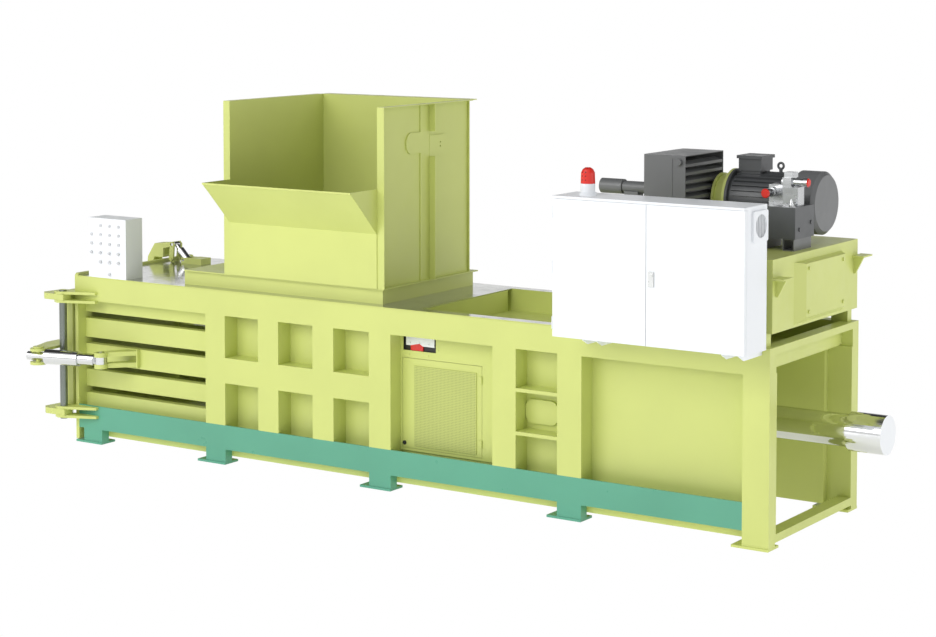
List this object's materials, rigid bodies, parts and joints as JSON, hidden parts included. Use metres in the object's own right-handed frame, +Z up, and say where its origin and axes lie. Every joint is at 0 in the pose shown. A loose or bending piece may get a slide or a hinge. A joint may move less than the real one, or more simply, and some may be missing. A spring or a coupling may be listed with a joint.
{
  "type": "recycling baler",
  "caption": "Horizontal hydraulic baler with feed hopper and chute, claw-locked discharge door, long ram cylinder, tank-top power pack and side cabinet.",
  "frame": {"origin": "on the floor, in the press centre plane, midway between the two frame end faces", "axes": "+X from the discharge door to the main cylinder, +Z up, control side faces -Y"},
  "size_m": [5.039, 1.317, 2.018],
  "materials": {
    "green": "semi-gloss light yellow-green enamel",
    "teal": "semi-gloss teal enamel",
    "grey_plate": "glossy grey-white plate",
    "white": "white powder coat",
    "dark": "dark grey enamel",
    "chrome": "polished chrome",
    "steel": "machined steel",
    "red": "red plastic",
    "grey_key": "grey plastic"
  },
  "bodies": {
    "press": {"base_rails": "teal", "bay_panels": "green", "beacon": "red", "cabinet_body": "white", "chamber_floor": "green", "control_box": "white", "cylinder_mount": "green", "discharge_flange": "green", "end_crossbeams": "green", "fan_cowl": "dark", "feet": "teal", "hinge_brackets": "green", "hopper_back": "green", "hopper_base": "green", "hopper_front": "green", "hopper_sides": "green", "lamps": "grey_key", "lock_brackets": "green", "main_cylinder": "chrome", "main_motor": "dark", "middle_rails": "green", "oil_cooler": "dark", "oil_tank": "green", "posts": "green", "pump_unit": "green", "ram_cover": "green", "roof_beams": "green", "side_skins": "green", "switchgear": "steel", "tank_cover": "green", "tie_beams": "green", "top_beams": "green", "top_plate": "grey_plate", "valve_block": "steel"},
    "discharge_door": {"discharge_door": "green"},
    "door_barrel": {"door_barrel": "chrome"},
    "door_rod": {"door_rod": "chrome"},
    "lock_claw": {"lock_claw": "green"},
    "lock_barrel": {"lock_barrel": "chrome"},
    "lock_rod": {"lock_rod": "chrome"},
    "ram": {"ram": "green", "piston_rod": "chrome"},
    "cabinet_door_left": {"cabinet_door_left": "white"},
    "cabinet_door_right": {"cabinet_door_right": "white"},
    "cabinet_handle": {"cabinet_handle": "steel"},
    "access_door": {"access_door": "green"},
    "access_lock": {"access_lock": "grey_key"},
    "valve_knob_low": {"valve_knob_low": "red"},
    "valve_knob_high": {"valve_knob_high": "red"},
    "motor_rotor": {"motor_rotor": "steel"},
    "cooler_fan": {"cooler_fan": "grey_key"},
    "button_1": {"button_1": "grey_key"},
    "button_2": {"button_2": "grey_key"},
    "button_3": {"button_3": "grey_key"},
    "button_4": {"button_4": "grey_key"},
    "button_5": {"button_5": "grey_key"},
    "button_6": {"button_6": "grey_key"},
    "button_7": {"button_7": "grey_key"},
    "button_8": {"button_8": "grey_key"}
  },
  "joints": [
    {"name": "door_swing", "type": "hinge", "parent": "press", "child": "discharge_door", "pos_m": [-2.2515, -0.578, 0.517], "axis": [0, 0, 1], "range_deg": [0, 38]},
    {"name": "door_barrel_pivot", "type": "hinge", "parent": "discharge_door", "child": "door_barrel", "pos_m": [-2.3255, -0.707, 0.517], "axis": [0, 0, 1], "range_deg": [-31.46, 0.5]},
    {"name": "door_rod_slide", "type": "slide", "parent": "door_barrel", "child": "door_rod", "axis": [0.9728, 0.2316, 0], "range_m": [-0.08786, 0.002]},
    {"name": "claw_lift", "type": "hinge", "parent": "press", "child": "lock_claw", "pos_m": [-2.1285, 0.26, 0.992], "axis": [0, 1, 0], "range_deg": [-6, 24]},
    {"name": "lock_barrel_pivot", "type": "hinge", "parent": "press", "child": "lock_barrel", "pos_m": [-2.0335, 0.26, 0.992], "axis": [0, 1, 0], "range_deg": [-3.2, 11.31]},
    {"name": "lock_rod_slide", "type": "slide", "parent": "lock_barrel", "child": "lock_rod", "axis": [-0.7071, 0, 0.7071], "range_m": [-0.03199, 0.0095]},
    {"name": "ram_slide", "type": "slide", "parent": "press", "child": "ram", "axis": [-1, 0, 0], "range_m": [0, 1.2]},
    {"name": "cabinet_left_swing", "type": "hinge", "parent": "press", "child": "cabinet_door_left", "pos_m": [1.1895, -0.777, 1.31], "axis": [0, 0, -1], "range_deg": [0, 110]},
    {"name": "cabinet_right_swing", "type": "hinge", "parent": "press", "child": "cabinet_door_right", "pos_m": [2.2185, -0.777, 1.31], "axis": [0, 0, 1], "range_deg": [0, 110]},
    {"name": "cabinet_handle_turn", "type": "hinge", "parent": "cabinet_door_right", "child": "cabinet_handle", "pos_m": [1.734, -0.79, 1.305], "axis": [0, 1, 0], "range_deg": [0, 90]},
    {"name": "access_swing", "type": "hinge", "parent": "press", "child": "access_door", "pos_m": [0.5445, -0.421, 0.46], "axis": [0, 0, 1], "range_deg": [0, 100]},
    {"name": "access_lock_turn", "type": "hinge", "parent": "access_door", "child": "access_lock", "pos_m": [0.0575, -0.415, 0.248], "axis": [0, -1, 0], "range_deg": [0, 90]},
    {"name": "valve_low_turn", "type": "hinge", "parent": "press", "child": "valve_knob_low", "pos_m": [2.0205, -0.154, 1.658], "axis": [0, 1, 0], "range_deg": [-360, 360]},
    {"name": "valve_high_turn", "type": "hinge", "parent": "press", "child": "valve_knob_high", "pos_m": [2.1945, -0.06, 1.711], "axis": [1, 0, 0], "range_deg": [-360, 360]},
    {"name": "motor_spin", "type": "hinge", "parent": "press", "child": "motor_rotor", "pos_m": [1.7785, 0.225, 1.584], "axis": [1, 0, 0], "continuous": true},
    {"name": "cooler_fan_spin", "type": "hinge", "parent": "press", "child": "cooler_fan", "pos_m": [1.3785, 0.056, 1.624], "axis": [1, 0, 0], "continuous": true},
    {"name": "button_1_press", "type": "slide", "parent": "press", "child": "button_1", "axis": [0, 1, 0], "range_m": [0, 0.004], "stiffness_N_per_m": 300, "springref_m": -0.001},
    {"name": "button_2_press", "type": "slide", "parent": "press", "child": "button_2", "axis": [0, 1, 0], "range_m": [0, 0.004], "stiffness_N_per_m": 300, "springref_m": -0.001},
    {"name": "button_3_press", "type": "slide", "parent": "press", "child": "button_3", "axis": [0, 1, 0], "range_m": [0, 0.004], "stiffness_N_per_m": 300, "springref_m": -0.001},
    {"name": "button_4_press", "type": "slide", "parent": "press", "child": "button_4", "axis": [0, 1, 0], "range_m": [0, 0.004], "stiffness_N_per_m": 300, "springref_m": -0.001},
    {"name": "button_5_press", "type": "slide", "parent": "press", "child": "button_5", "axis": [0, 1, 0], "range_m": [0, 0.004], "stiffness_N_per_m": 300, "springref_m": -0.001},
    {"name": "button_6_press", "type": "slide", "parent": "press", "child": "button_6", "axis": [0, 1, 0], "range_m": [0, 0.004], "stiffness_N_per_m": 300, "springref_m": -0.001},
    {"name": "button_7_press", "type": "slide", "parent": "press", "child": "button_7", "axis": [0, 1, 0], "range_m": [0, 0.004], "stiffness_N_per_m": 300, "springref_m": -0.001},
    {"name": "button_8_press", "type": "slide", "parent": "press", "child": "button_8", "axis": [0, 1, 0], "range_m": [0, 0.004], "stiffness_N_per_m": 300, "springref_m": -0.001}
  ],
  "couplings": [
    {"joint": "door_barrel_pivot", "follows": "door_swing", "ratio": -0.81474},
    {"joint": "door_rod_slide", "follows": "door_swing", "m_per_rad": -0.12945},
    {"joint": "lock_barrel_pivot", "follows": "claw_lift", "ratio": 0.45056},
    {"joint": "lock_rod_slide", "follows": "claw_lift", "m_per_rad": -0.071604}
  ]
}
